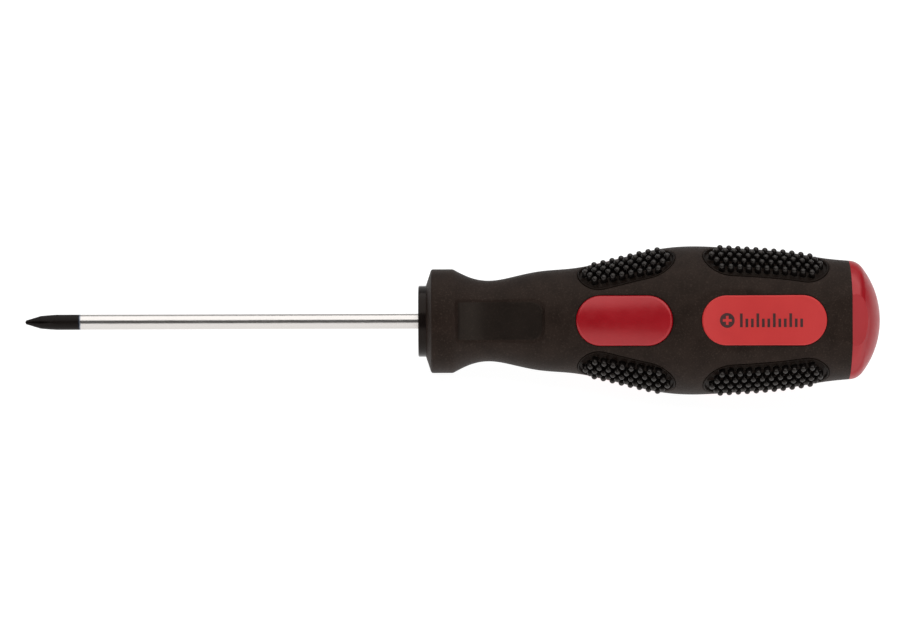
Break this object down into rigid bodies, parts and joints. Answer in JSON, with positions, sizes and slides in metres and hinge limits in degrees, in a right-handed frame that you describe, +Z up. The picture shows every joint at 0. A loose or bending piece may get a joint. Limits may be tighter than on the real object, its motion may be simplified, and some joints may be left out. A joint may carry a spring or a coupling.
{
  "type": "screwdriver",
  "caption": "Cross-head screwdriver: round fixed blade, waisted soft-grip handle with red ovals and studded pads, lying at rest.",
  "frame": {"origin": "on the surface that the tool lies on, under the middle of its bounding box", "axes": "+X from the tip towards the butt, along the surface; +Z up, out of the column of pads opposite the ovals that the tool lies on. The first column of ovals faces up and towards -Y, 60 degrees from +Z. The blade's axis dips towards the tip by the rest angle."},
  "size_m": [0.1624, 0.0288, 0.0299],
  "materials": {
    "bright_steel": "satin plating, black oxide on the tip",
    "black_gloss_plastic": "polished",
    "core_plastic": "as moulded, hidden",
    "black_soft_grip": "fine matte texture",
    "black_soft_studs": "polished mould",
    "red_gloss_plastic": "polished",
    "red_satin_plastic": "satin"
  },
  "bodies": {
    "root": {"blade": "bright_steel", "front_collar": "black_gloss_plastic", "handle_core": "core_plastic", "grip_sleeve": "black_soft_grip", "end_cap": "red_gloss_plastic", "front_inlay_1": "red_gloss_plastic", "rear_inlay_1": "red_satin_plastic", "front_pad_1": "black_soft_studs", "rear_pad_1": "black_soft_studs", "front_inlay_2": "red_gloss_plastic", "rear_inlay_2": "red_satin_plastic", "front_pad_2": "black_soft_studs", "rear_pad_2": "black_soft_studs", "front_inlay_3": "red_gloss_plastic", "rear_inlay_3": "red_satin_plastic", "front_pad_3": "black_soft_studs", "rear_pad_3": "black_soft_studs"}
  },
  "joints": []
}
